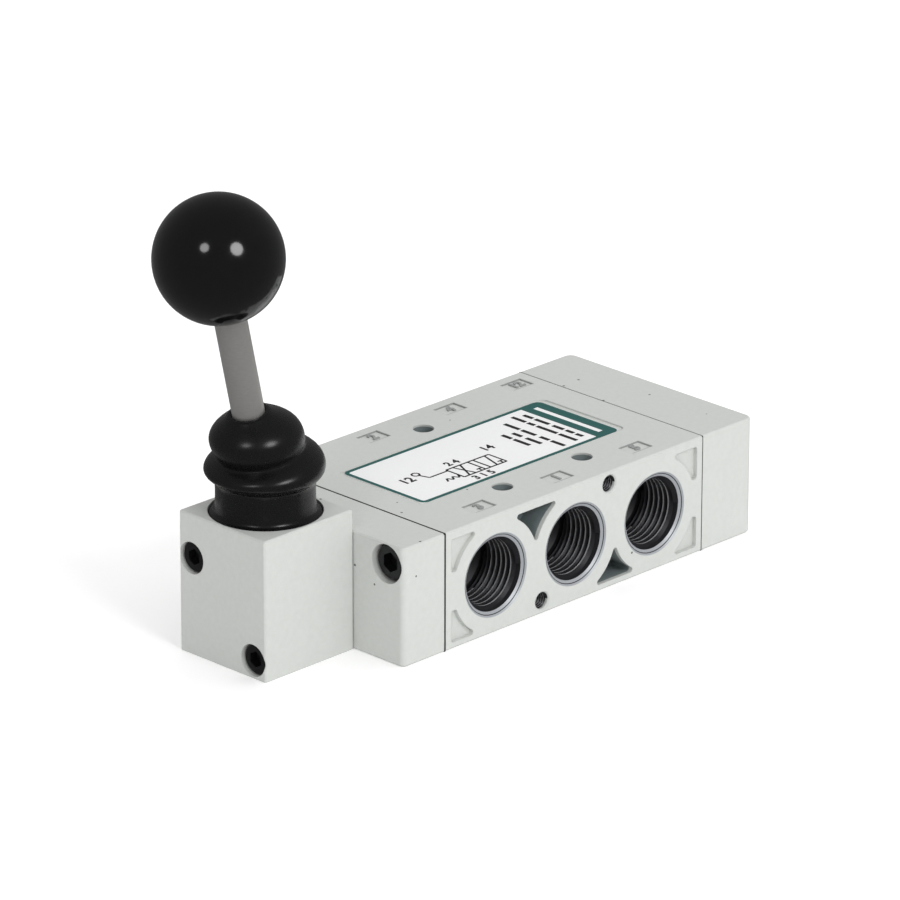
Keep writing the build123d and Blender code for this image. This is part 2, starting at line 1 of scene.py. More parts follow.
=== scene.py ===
"""Looks of a hand lever air valve: its finishes, port threads, printed label, boot, knob and studio."""

from __future__ import annotations

import json
import logging
import math
from dataclasses import dataclass, field
from enum import Enum

import bmesh
import bpy
from mathutils import Matrix, Vector

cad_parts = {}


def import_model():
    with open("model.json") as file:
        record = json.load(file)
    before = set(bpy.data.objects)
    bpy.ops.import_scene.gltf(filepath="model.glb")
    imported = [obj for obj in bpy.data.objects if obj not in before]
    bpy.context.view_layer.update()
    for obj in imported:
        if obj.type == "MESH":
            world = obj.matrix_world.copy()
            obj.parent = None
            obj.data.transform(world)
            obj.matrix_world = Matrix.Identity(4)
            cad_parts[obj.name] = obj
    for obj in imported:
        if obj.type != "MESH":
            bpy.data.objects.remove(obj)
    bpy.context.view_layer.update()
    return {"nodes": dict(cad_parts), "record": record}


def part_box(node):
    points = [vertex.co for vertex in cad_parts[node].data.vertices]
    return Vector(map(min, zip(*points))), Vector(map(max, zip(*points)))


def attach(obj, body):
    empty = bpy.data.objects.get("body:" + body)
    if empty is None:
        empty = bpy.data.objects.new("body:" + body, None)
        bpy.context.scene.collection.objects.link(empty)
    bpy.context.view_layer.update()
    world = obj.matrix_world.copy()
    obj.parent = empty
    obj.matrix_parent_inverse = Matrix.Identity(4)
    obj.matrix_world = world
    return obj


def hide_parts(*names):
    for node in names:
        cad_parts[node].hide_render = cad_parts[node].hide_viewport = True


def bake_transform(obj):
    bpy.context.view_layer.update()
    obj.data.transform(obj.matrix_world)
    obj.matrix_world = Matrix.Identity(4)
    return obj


log = logging.getLogger("valve")

MM = 0.001
ROOT = "housing_and_body"
LEVER = "lever"
FRONT_PORTS = (-31.0, 0.0, 31.0)
REAR_PORTS = (-15.5, 15.5)
AXIS_HEIGHT = 16.5 * MM


class Side(Enum):
    """The two long faces of the body; the value is the face's direction along Y."""

    FRONT = -1
    REAR = 1


@dataclass(frozen=True)
class Finish:
    """A surface finish: one Principled shader with small-scale colour, roughness and height variation."""

    name: str
    colour: tuple[float, float, float]
    roughness: float = 0.5
    metallic: float = 0.0
    grain_scale: float = 900.0
    grain_stretch: tuple[float, float, float] = (1.0, 1.0, 1.0)
    colour_spread: float = 0.06
    roughness_spread: float = 0.08
    bump: float = 0.1
    bump_distance: float = 0.00005
    edge_radius: float = 0.0
    specular: float = 0.5
    fleck_scale: float = 0.0
    fleck_size: float = 0.035

    def build(self) -> bpy.types.Material:
        """Makes the node material.

        Returns:
            The material, with its pattern on Object coordinates.
        """
        mat = bpy.data.materials.new(self.name)
        mat.use_nodes = True
        nodes = mat.node_tree.nodes
        links = mat.node_tree.links
        shader = nodes["Principled BSDF"]
        shader.inputs["Metallic"].default_value = self.metallic
        shader.inputs["Specular IOR Level"].default_value = self.specular
        coords = nodes.new("ShaderNodeTexCoord")
        mapping = nodes.new("ShaderNodeMapping")
        mapping.inputs["Scale"].default_value = self.grain_stretch
        grain = nodes.new("ShaderNodeTexNoise")
        grain.inputs["Scale"].default_value = self.grain_scale
        grain.inputs["Detail"].default_value = 4.0
        links.new(coords.outputs["Object"], mapping.inputs["Vector"])
        links.new(mapping.outputs["Vector"], grain.inputs["Vector"])
        ramp = nodes.new("ShaderNodeValToRGB")
        ramp.name = "grain_colour"
        low = tuple(c * (1.0 - self.colour_spread) for c in self.colour)
        high = tuple(min(c * (1.0 + self.colour_spread), 1.0) for c in self.colour)
        ramp.color_ramp.elements[0].position = 0.3
        ramp.color_ramp.elements[0].color = (*low, 1.0)
        ramp.color_ramp.elements[1].position = 0.7
        ramp.color_ramp.elements[1].color = (*high, 1.0)
        links.new(grain.outputs["Fac"], ramp.inputs["Fac"])
        links.new(ramp.outputs["Color"], shader.inputs["Base Color"])
        if self.fleck_scale > 0.0:
            self._add_flecks(mat.node_tree, coords.outputs["Object"], ramp.outputs["Color"])
        spread = nodes.new("ShaderNodeMapRange")
        spread.name = "grain_roughness"
        spread.inputs["To Min"].default_value = max(self.roughness - self.roughness_spread, 0.0)
        spread.inputs["To Max"].default_value = min(self.roughness + self.roughness_spread, 1.0)
        links.new(grain.outputs["Fac"], spread.inputs["Value"])
        links.new(spread.outputs["Result"], shader.inputs["Roughness"])
        height = nodes.new("ShaderNodeBump")
        height.inputs["Strength"].default_value = self.bump
        height.inputs["Distance"].default_value = self.bump_distance
        links.new(grain.outputs["Fac"], height.inputs["Height"])
        if self.edge_radius > 0.0:
            worn = nodes.new("ShaderNodeBevel")
            worn.samples = 6
            worn.inputs["Radius"].default_value = self.edge_radius
            links.new(worn.outputs["Normal"], height.inputs["Normal"])
        links.new(height.outputs["Normal"], shader.inputs["Normal"])
        return mat

    def _add_flecks(self, tree: bpy.types.NodeTree, coords: bpy.types.NodeSocket,
                    colour: bpy.types.NodeSocket) -> None:
        """Scatters small dark specks of grime and pinholes over the colour.

        Args:
            tree: The material's node tree.
            coords: Object coordinates.
            colour: The colour under the specks.
        """
        cells = tree.nodes.new("ShaderNodeTexVoronoi")
        cells.inputs["Scale"].default_value = self.fleck_scale
        tree.links.new(coords, cells.inputs["Vector"])
        near = tree.nodes.new("ShaderNodeMath")
        near.operation = "LESS_THAN"
        near.inputs[1].default_value = self.fleck_size
        tree.links.new(cells.outputs["Distance"], near.inputs[0])
        split = tree.nodes.new("ShaderNodeSeparateColor")
        tree.links.new(cells.outputs["Color"], split.inputs[0])
        few = tree.nodes.new("ShaderNodeMath")
        few.operation = "GREATER_THAN"
        few.inputs[1].default_value = 0.55
        tree.links.new(split.outputs[0], few.inputs[0])
        both = tree.nodes.new("ShaderNodeMath")
        both.operation = "MULTIPLY"
        tree.links.new(near.outputs[0], both.inputs[0])
        tree.links.new(few.outputs[0], both.inputs[1])
        mix = tree.nodes.new("ShaderNodeMix")
        mix.data_type = "RGBA"
        rgba = [socket for socket in mix.inputs if socket.type == "RGBA"]
        rgba[1].default_value = (0.12, 0.12, 0.12, 1.0)
        tree.links.new(both.outputs[0], mix.inputs["Factor"])
        tree.links.new(colour, rgba[0])
        result = next(socket for socket in mix.outputs if socket.type == "RGBA")
        tree.links.new(result, tree.nodes["Principled BSDF"].inputs["Base Color"])


@dataclass(frozen=True)
class CastEnamel:
    """Satin enamel on the valve body, darkened by painted shade in its cored hollows; its port mouths are
    machined metal with painted shade deeper in.
    """

    paint: Finish
    hollow: Finish
    machined: Finish
    bore: Finish
    port_places: tuple[tuple[float, int], ...]
    port_height: float
    mouth_radius: float
    half_width: float
    half_length: float
    top: float
    skin: float = 1.3 * MM
    end_skin: float = 0.4 * MM
    top_skin: float = 0.55 * MM
    bright_depth: float = 0.95 * MM
    line_depths: tuple[float, float] = (0.30 * MM, 0.44 * MM)

    def build(self) -> bpy.types.Material:
        """Makes the enamel, its painted shade in the hollows and the machined metal in each port's mouth,
        with painted shade deeper in each port.

        Returns:
            The material of the valve body.
        """
        mat = self.paint.build()
        tree = mat.node_tree
        paint_shader = tree.nodes["Principled BSDF"]
        output = tree.nodes["Material Output"]
        coords = tree.nodes.new("ShaderNodeTexCoord")
        split = tree.nodes.new("ShaderNodeSeparateXYZ")
        tree.links.new(coords.outputs["Object"], split.inputs[0])
        depth = self._depth(tree, split)
        # Painted shade: the cored hollows are mixed to a dark blue-grey.
        hollow_shade_shader = self._plain(tree, self.hollow)
        painted = self._mix(tree, self._in_a_hollow(tree, split, depth), paint_shader.outputs[0], hollow_shade_shader)
        # Painted shade: past bright_depth the port wall takes the near-black bore colour; a narrow ring
        # between the two line_depths takes the same dark colour.
        deep = self._compare(tree, "GREATER_THAN", depth, self.bright_depth)
        line = self._math(tree, "MULTIPLY", self._compare(tree, "GREATER_THAN", depth, self.line_depths[0]),
                          self._compare(tree, "LESS_THAN", depth, self.line_depths[1]))
        deep = self._math(tree, "MAXIMUM", deep, line)
        mouth_metal_and_bore_shade = self._mix(tree, deep, self._plain(tree, self.machined), self._plain(tree, self.bore))
        whole = self._mix(tree, self._inside_a_port(tree, split), painted, mouth_metal_and_bore_shade)
        tree.links.new(whole, output.inputs["Surface"])
        return mat

    @staticmethod
    def _plain(tree: bpy.types.NodeTree, finish: Finish) -> bpy.types.NodeSocket:
        """Adds an even shader of a finish.

        Args:
            tree: The material's node tree.
            finish: The finish.

        Returns:
            The shader's socket.
        """
        shader = tree.nodes.new("ShaderNodeBsdfPrincipled")
        shader.inputs["Base Color"].default_value = (*finish.colour, 1.0)
        shader.inputs["Metallic"].default_value = finish.metallic
        shader.inputs["Roughness"].default_value = finish.roughness
        return shader.outputs[0]

    @staticmethod
    def _mix(tree: bpy.types.NodeTree, share: bpy.types.NodeSocket, first: bpy.types.NodeSocket,
             second: bpy.types.NodeSocket) -> bpy.types.NodeSocket:
        """Mixes two shaders.

        Args:
            tree: The material's node tree.
            share: How much of the second is taken.
            first: The first shader.
            second: The second shader.

        Returns:
            The mixed shader's socket.
        """
        mix = tree.nodes.new("ShaderNodeMixShader")
        tree.links.new(share, mix.inputs[0])
        tree.links.new(first, mix.inputs[1])
        tree.links.new(second, mix.inputs[2])
        return mix.outputs[0]

    def _depth(self, tree: bpy.types.NodeTree, split: bpy.types.Node) -> bpy.types.NodeSocket:
        """Adds the depth below the nearer of the body's two long faces.

        Args:
            tree: The material's node tree.
            split: The node that gives X, Y and Z.

        Returns:
            The depth's socket.
        """
        outward = self._math(tree, "ABSOLUTE", split.outputs["Y"])
        depth = tree.nodes.new("ShaderNodeMath")
        depth.operation = "SUBTRACT"
        depth.inputs[0].default_value = self.half_width
        tree.links.new(outward, depth.inputs[1])
        return depth.outputs[0]

    def _in_a_hollow(self, tree: bpy.types.NodeTree, split: bpy.types.Node,
                     depth: bpy.types.NodeSocket) -> bpy.types.NodeSocket:
        """Adds the nodes that tell the cored hollows from the outer faces.

        Args:
            tree: The material's node tree.
            split: The node that gives X, Y and Z.
            depth: The depth below the long faces.

        Returns:
            A socket that is 1 in a hollow and 0 elsewhere.
        """
        inside = self._compare(tree, "GREATER_THAN", depth, self.skin)
        along = self._math(tree, "ABSOLUTE", split.outputs["X"])
        rules = (
            self._compare(tree, "LESS_THAN", along, self.half_length - self.end_skin),
            self._compare(tree, "GREATER_THAN", split.outputs["Z"], self.end_skin),
            self._compare(tree, "LESS_THAN", split.outputs["Z"], self.top - self.top_skin),
        )
        for rule in rules:
            inside = self._math(tree, "MULTIPLY", inside, rule)
        return inside

    def _inside_a_port(self, tree: bpy.types.NodeTree, split: bpy.types.Node) -> bpy.types.NodeSocket:
        """Adds the nodes that tell the ports' walls from the painted faces.

        Args:
            tree: The material's node tree.
            split: The node that gives X, Y and Z.

        Returns:
            A socket that is 1 inside a port and 0 elsewhere.
        """
        flat = tree.nodes.new("ShaderNodeCombineXYZ")
        tree.links.new(split.outputs["X"], flat.inputs["X"])
        tree.links.new(split.outputs["Z"], flat.inputs["Z"])
        total = None
        for place, side in self.port_places:
            centre = tree.nodes.new("ShaderNodeCombineXYZ")
            centre.inputs["X"].default_value = place
            centre.inputs["Z"].default_value = self.port_height
            gap = tree.nodes.new("ShaderNodeVectorMath")
            gap.operation = "DISTANCE"
            tree.links.new(flat.outputs[0], gap.inputs[0])
            tree.links.new(centre.outputs[0], gap.inputs[1])
            near = self._compare(tree, "LESS_THAN", gap.outputs["Value"], self.mouth_radius)
            how = "LESS_THAN" if side < 0 else "GREATER_THAN"
            on_side = self._compare(tree, how, split.outputs["Y"], side * self.half_width * 0.3)
            both = self._math(tree, "MULTIPLY", near, on_side)
            total = both if total is None else self._math(tree, "MAXIMUM", total, both)
        return total

    @staticmethod
    def _math(tree: bpy.types.NodeTree, how: str, first: bpy.types.NodeSocket,
              second: bpy.types.NodeSocket | None = None) -> bpy.types.NodeSocket:
        """Adds a Math node on one or two sockets.

        Args:
            tree: The material's node tree.
            how: The Math node's operation.
            first: The first value.
            second: The second value, if the operation takes one.

        Returns:
            The result's socket.
        """
        node = tree.nodes.new("ShaderNodeMath")
        node.operation = how
        tree.links.new(first, node.inputs[0])
        if second is not None:
            tree.links.new(second, node.inputs[1])
        return node.outputs[0]

    @staticmethod
    def _compare(tree: bpy.types.NodeTree, how: str, value: bpy.types.NodeSocket,
                 limit: float) -> bpy.types.NodeSocket:
        """Adds a comparison of a value with a limit.

        Args:
            tree: The material's node tree.
            how: The Math node's operation.
            value: The socket compared.
            limit: The limit.

        Returns:
            The result's socket.
        """
        node = tree.nodes.new("ShaderNodeMath")
        node.operation = how
        tree.links.new(value, node.inputs[0])
        node.inputs[1].default_value = limit
        return node.outputs[0]


ENAMEL = Finish("enamel", (0.612, 0.628, 0.604), roughness=0.42, grain_scale=650.0, colour_spread=0.02,
                roughness_spread=0.05, bump=0.12, bump_distance=0.00004, edge_radius=0.00035, specular=0.35,
                fleck_scale=170.0, fleck_size=0.065)
# Painted shade: a dark blue-grey for the cored hollows.
HOLLOW_PAINTED_SHADE = Finish("hollow_painted_shade", (0.205, 0.24, 0.245), roughness=0.55)
MACHINED = Finish("machined_aluminium", (0.50, 0.52, 0.55), roughness=0.4, metallic=0.35, colour_spread=0.1)
# Painted shade: a near-black colour for the deeper port walls.
BORE_PAINTED_SHADE = Finish("bore_painted_shade", (0.030, 0.031, 0.034), roughness=0.5, metallic=0.3)
# Painted highlight: the bright crest colour. Painted shade: the near-black colour of the thread flanks.
CREST_PAINTED_HIGHLIGHT = Finish("crest_painted_highlight", (0.66, 0.665, 0.68), roughness=0.42, metallic=0.45, colour_spread=0.1)
THREAD_PAINTED_SHADE = Finish("thread_painted_shade", (0.045, 0.045, 0.05), roughness=0.36, metallic=0.75, grain_scale=900.0,
                colour_spread=0.12, roughness_spread=0.06, bump=0.05)
BLACK_OXIDE = Finish("black_oxide", (0.018, 0.018, 0.02), roughness=0.38, metallic=0.6, grain_scale=1800.0,
                     colour_spread=0.25, roughness_spread=0.12, bump=0.15)
GASKET = Finish("gasket_sheet", (0.012, 0.012, 0.012), roughness=0.85, grain_scale=2500.0, bump=0.3)
BOOT_RUBBER = Finish("boot_rubber", (0.005, 0.005, 0.0055), roughness=0.27, grain_scale=1400.0,
                     colour_spread=0.1, roughness_spread=0.04, bump=0.04, bump_distance=0.00001,
                     specular=0.4)
SEAL_RUBBER = Finish("seal_rubber", (0.015, 0.015, 0.015), roughness=0.6, bump=0.1)
STAINLESS = Finish("satin_stainless", (0.47, 0.46, 0.445), roughness=0.38, metallic=0.72, grain_scale=700.0,
                   grain_stretch=(1.0, 1.0, 14.0), colour_spread=0.08, roughness_spread=0.1, bump=0.08)
ZINC = Finish("zinc_plate", (0.55, 0.55, 0.54), roughness=0.35, metallic=1.0)
GROUND_STEEL = Finish("ground_steel", (0.6, 0.6, 0.62), roughness=0.2, metallic=1.0, grain_scale=1600.0,
                      grain_stretch=(0.2, 1.0, 1.0))
SPRING_STEEL = Finish("spring_steel", (0.32, 0.32, 0.34), roughness=0.35, metallic=1.0)
ANODISED = Finish("hard_anodised", (0.5, 0.5, 0.52), roughness=0.4, metallic=0.8)
BRONZE = Finish("sintered_bronze", (0.52, 0.34, 0.16), roughness=0.5, metallic=1.0, bump=0.3)
BRASS = Finish("turned_brass", (0.7, 0.52, 0.22), roughness=0.3, metallic=1.0)
PHENOLIC = Finish("polished_phenolic", (0.003, 0.003, 0.0035), roughness=0.11, grain_scale=300.0,
                  colour_spread=0.1, roughness_spread=0.03, bump=0.02)
LABEL_WHITE = Finish("label_white", (0.93, 0.935, 0.935), roughness=0.38, grain_scale=1200.0,
                     colour_spread=0.01, bump=0.03)
LABEL_BLACK = Finish("label_black", (0.012, 0.012, 0.014), roughness=0.4, grain_scale=1200.0, bump=0.03)
LABEL_GREEN = Finish("label_green", (0.018, 0.115, 0.105), roughness=0.38, grain_scale=1200.0,
                     colour_spread=0.04, bump=0.03)
# The numbers are a darker grey; the same colour serves as painted shade along the recess walls.
NUMBER_TONE_AND_RECESS_SHADE = Finish("dark_number_and_recess_shade", (0.33, 0.34, 0.335), roughness=0.5, colour_spread=0.1, bump=0.1)

NODE_FINISHES: dict[str, Finish] = {
    "end_cap": ENAMEL, "operator_adapter": ENAMEL, "lever_housing": ENAMEL,
    "end_cap_gasket": GASKET, "adapter_gasket": GASKET, "housing_gasket": GASKET,
    "end_cap_screws": BLACK_OXIDE, "adapter_screws": BLACK_OXIDE, "housing_screws": BLACK_OXIDE,
    "valve_sleeve": ANODISED, "sleeve_seals": SEAL_RUBBER, "spool": GROUND_STEEL, "spring_seat": ZINC,
    "return_spring": SPRING_STEEL, "stem": GROUND_STEEL, "yoke": GROUND_STEEL, "stem_bush": BRONZE,
    "stem_seal": SEAL_RUBBER, "spool_bumper": SEAL_RUBBER, "lever_carrier": ZINC,
    "carrier_ring": SPRING_STEEL, "pivot_pin": GROUND_STEEL, "lever_hub": ZINC, "lever_rod": STAINLESS,
    "knob_insert": BRASS, "ball_knob": PHENOLIC, "boot": BOOT_RUBBER, "label_plate": LABEL_WHITE,
}


@dataclass
class Workshop:
    """Makes mesh objects and keeps one material for each finish."""

    made: dict[str, bpy.types.Material] = field(default_factory=dict)

    def material(self, finish: Finish) -> bpy.types.Material:
        """The material of a finish, made on first use.

        Args:
            finish: The finish.

        Returns:
            Its material.
        """
        if finish.name not in self.made:
            self.made[finish.name] = finish.build()
        return self.made[finish.name]

    def piece(self, name: str, shape: bmesh.types.BMesh, finish: Finish, slot: str, body: str | None,
              smooth: float = 40.0) -> bpy.types.Object:
        """Turns a bmesh into a piece that rides on a body.

        Args:
            name: The piece's name.
            shape: The bmesh, which is freed.
            finish: Its finish.
            slot: The record's material slot; not used.
            body: The body it rides on, or None for no body.
            smooth: Edges sharper than this angle stay sharp, in degrees.

        Returns:
            The new object.
        """
        bmesh.ops.recalc_face_normals(shape, faces=shape.faces[:])
        mesh = bpy.data.meshes.new(name)
        shape.to_mesh(mesh)
        shape.free()
        mesh.shade_smooth()
        mesh.set_sharp_from_angle(angle=math.radians(smooth))
        obj = bpy.data.objects.new(name, mesh)
        bpy.context.scene.collection.objects.link(obj)
        mesh.materials.append(self.material(finish))
        if body is not None:
            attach(obj, body)
        log.info("%s: %d faces", name, len(mesh.polygons))
        return obj


@dataclass
class Castings:
    """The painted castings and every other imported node, dressed in its finish."""

    shop: Workshop
    port_places: tuple[tuple[float, int], ...]
    port_height: float = AXIS_HEIGHT
    mouth_radius: float = 11.9 * MM

    def build(self, nodes: dict[str, bpy.types.Object]) -> None:
        """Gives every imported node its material.

        Args:
            nodes: The frame's nodes by name.
        """
        low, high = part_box("valve_body")
        enamel = CastEnamel(ENAMEL, HOLLOW_PAINTED_SHADE, MACHINED, BORE_PAINTED_SHADE, self.port_places, self.port_height,
                            self.mouth_radius, (high[1] - low[1]) / 2, (high[0] - low[0]) / 2, high[2])
        self._dress(nodes["valve_body"], enamel.build())
        for name, finish in NODE_FINISHES.items():
            self._dress(nodes[name], self.shop.material(finish))

    def _dress(self, obj: bpy.types.Object, mat: bpy.types.Material) -> None:
        """Puts a material in every slot of a node's object.

        Args:
            obj: The node's object.
            mat: The material.
        """
        if not obj.material_slots:
            obj.data.materials.append(mat)
        for holder in obj.material_slots:
            holder.link = "OBJECT"
            holder.material = mat
        log.info("%s dressed in %s", obj.name, mat.name)


def plate_ring(size: tuple[float, float], wall: float, thick: float,
               corner: float = 0.0) -> bmesh.types.BMesh:
    """Makes a flat rectangular ring that stands on the origin's XY plane.

    Args:
        size: Its outer size in X and Y.
        wall: The width of its rim.
        thick: Its thickness, along Z.
        corner: The radius of its outer corners, or 0 for square ones.

    Returns:
        The closed ring.
    """
    shape = bmesh.new()
    bmesh.ops.create_grid(shape, x_segments=1, y_segments=1, size=0.5)
    bmesh.ops.scale(shape, vec=(*size, 1.0), verts=shape.verts)
    if corner > 0.0:
        bmesh.ops.bevel(shape, geom=shape.verts[:], offset=corner, segments=6, profile=0.5,
                        affect="VERTICES", material=-1)
    bmesh.ops.inset_region(shape, faces=shape.faces[:], thickness=wall, use_boundary=True,
                           use_even_offset=True)
    inner = min(shape.faces, key=lambda face: face.calc_center_median().length)
    bmesh.ops.delete(shape, geom=[inner], context="FACES_ONLY")
    grown = bmesh.ops.extrude_face_region(shape, geom=shape.faces[:])["geom"]
    raised = [item for item in grown if isinstance(item, bmesh.types.BMVert)]
    bmesh.ops.translate(shape, vec=(0, 0, thick), verts=raised)
    return shape


@dataclass
class GasketLips:
    """The black edges of the gaskets, squeezed out almost flush with the castings."""

    shop: Workshop
    growth: float = 0.56 * MM
    wall: float = 0.5 * MM
    gap_share: float = 0.01

    def build(self) -> None:
        """Makes one lip for each gasket between the body and its neighbours."""
        for number, name in enumerate(("adapter_gasket", "end_cap_gasket"), start=1):
            low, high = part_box(name)
            size = high - low
            outer = (size[1] + 2 * self.growth, size[2] + 2 * self.growth)
            shape = plate_ring(outer, self.wall, size[0] * (1.0 - 2 * self.gap_share))
            turn = Matrix(((0, 0, 1), (1, 0, 0), (0, 1, 0)))
            bmesh.ops.rotate(shape, matrix=turn, verts=shape.verts)
            middle = (low + high) / 2
            place = (low[0] + size[0] * self.gap_share, middle[1], middle[2])
            bmesh.ops.translate(shape, vec=place, verts=shape.verts)
            self.shop.piece(f"gasket_lip_{number}", shape, GASKET, "gasket", ROOT)


@dataclass(frozen=True)
class ThreadForm:
    """The sizes of one cut thread."""

    pitch: float
    root_radius: float
    crest_radius: float
    start_depth: float
    turns: int
    steps: int = 72
    half_foot: float = 0.48
    half_crest: float = 0.12
    run_in: float = 0.7
    run_out: float = 1.6
    least_height: float = 0.02

    def cut(self) -> bmesh.types.BMesh:
        """Sweeps the thread's section along a helix, running out to nothing at both ends.

        Returns:
            The closed thread, with the hole's mouth at the origin facing +Z.
        """
        shape = bmesh.new()
        foot = self.half_foot * self.pitch
        flat = self.half_crest * self.pitch
        top = -self.start_depth
        section = [
            (self.root_radius, 0.0, top),
            (self.crest_radius, 0.0, top - foot + flat),
            (self.crest_radius, 0.0, top - foot - flat),
            (self.root_radius, 0.0, top - 2 * foot),
        ]
        face = shape.faces.new([shape.verts.new(point) for point in section])
        bmesh.ops.spin(shape, geom=[face], axis=(0, 0, 1), cent=(0, 0, 0),
                       dvec=(0, 0, -self.pitch / self.steps), angle=self.turns * 2 * math.pi,
                       steps=self.turns * self.steps)
        bmesh.ops.remove_doubles(shape, verts=shape.verts, dist=1e-7)
        bottom = top - (self.turns + 1) * self.pitch
        for vert in shape.verts:
            radius = math.hypot(vert.co.x, vert.co.y)
            if radius > (self.root_radius + self.crest_radius) / 2:
                continue
            begun = (top - vert.co.z) / (self.run_in * self.pitch)
            left = (vert.co.z - bottom) / (self.run_out * self.pitch)
            share = max(min(begun, left, 1.0), self.least_height)
            wanted = self.root_radius + (self.crest_radius - self.root_radius) * share
            vert.co.x *= wanted / radius
            vert.co.y *= wanted / radius
        return shape


@dataclass
class Threads:
    """The helical threads cut in the five ports and the two small screw holes."""

    shop: Workshop
    ports: tuple[tuple[float, int], ...]
    port_height: float = AXIS_HEIGHT
    port_form: ThreadForm = ThreadForm(25.4 * MM / 14, 10.46 * MM, 9.36 * MM, 0.85 * MM, 7)
    small_form: ThreadForm = ThreadForm(0.8 * MM, 2.38 * MM, 1.98 * MM, 0.35 * MM, 8, 36)
    small_shift: float = 13.0 * MM
    small_inset: float = 3.7 * MM

    def build(self) -> None:
        """Makes one thread in each hole."""
        low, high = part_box("valve_body")
        for number, (place, side) in enumerate(self.ports, start=1):
            face = low[1] if side < 0 else high[1]
            self._place(f"port_thread_{number}", self.port_form, (place, face, self.port_height), side)
        lower = (-self.small_shift, low[1], self.small_inset)
        upper = (self.small_shift, low[1], high[2] - self.small_inset)
        self._place("small_thread_lower", self.small_form, lower, Side.FRONT.value)
        self._place("small_thread_upper", self.small_form, upper, Side.FRONT.value)

    def _place(self, name: str, form: ThreadForm, mouth: tuple[float, float, float], side: int) -> None:
        """Cuts a thread and sets it in its hole.

        Args:
            name: The piece's name.
            form: The thread's sizes.
            mouth: The centre of the hole's mouth.
            side: -1 for the front face, 1 for the rear face.
        """
        shape = form.cut()
        turn = Matrix.Rotation(math.radians(90.0 if side < 0 else -90.0), 4, "X")
        bmesh.ops.transform(shape, matrix=turn, verts=shape.verts)
        bmesh.ops.translate(shape, vec=mouth, verts=shape.verts)
        thread = self.shop.piece(name, shape, THREAD_PAINTED_SHADE, "sleeve_aluminium", ROOT, smooth=25.0)
        # Crest faces get the painted highlight; all other faces keep the painted shade.
        thread.data.materials.append(self.shop.material(CREST_PAINTED_HIGHLIGHT))
        centre = Vector((mouth[0], 0, mouth[2]))
        limit = form.crest_radius + 0.02 * MM
        for face in thread.data.polygons:
            spots = [thread.data.vertices[k].co - centre for k in face.vertices]
            if all(math.hypot(spot.x, spot.z) < limit for spot in spots):
                face.material_index = 1


@dataclass
class Lettering:
    """Plain characters and strokes, as thin raised meshes on the top face."""

    shop: Workshop

    def word(self, name: str, text: str, place: tuple[float, float, float], size: float, thick: float,
             finish: Finish, slot: str, weight: float = 0.0) -> None:
        """Makes characters that lie flat and read from above.

        Args:
            name: The piece's name.
            text: The characters.
            place: The centre of their underside.
            size: The characters' height.
            thick: How far they stand up.
            finish: Their finish.
            slot: The record's material slot.
            weight: How much their outline is thickened.
        """
        curve = bpy.data.curves.new(name, "FONT")
        curve.body = text
        curve.size = size
        curve.extrude = thick / 2
        curve.offset = weight
        curve.align_x = "CENTER"
        curve.align_y = "CENTER"
        holder = bpy.data.objects.new(name + "_text", curve)
        bpy.context.scene.collection.objects.link(holder)
        bpy.context.view_layer.update()
        mesh = bpy.data.meshes.new_from_object(holder)
        bpy.data.objects.remove(holder)
        shape = bmesh.new()
        shape.from_mesh(mesh)
        bmesh.ops.remove_doubles(shape, verts=shape.verts, dist=1e-7)
        bmesh.ops.translate(shape, vec=Vector(place) + Vector((0, 0, thick / 2)), verts=shape.verts)
        self.shop.piece(name, shape, finish, slot, ROOT)

    @staticmethod
    def bar(shape: bmesh.types.BMesh, start: tuple[float, float], end: tuple[float, float], width: float,
            base: float, thick: float) -> None:
        """Adds a straight printed stroke.

        Args:
            shape: The bmesh added to.
            start: One end, in X and Y.
            end: The other end.
            width: The stroke's width.
            base: The height of its underside.
            thick: Its thickness.
        """
        run = Vector((end[0] - start[0], end[1] - start[1]))
        made = bmesh.ops.create_cube(shape, size=1.0)["verts"]
        bmesh.ops.scale(shape, vec=(run.length, width, thick), verts=made)
        turn = Matrix.Rotation(math.atan2(run.y, run.x), 3, "Z")
        bmesh.ops.rotate(shape, matrix=turn, verts=made)
        middle = ((start[0] + end[0]) / 2, (start[1] + end[1]) / 2, base + thick / 2)
        bmesh.ops.translate(shape, vec=middle, verts=made)


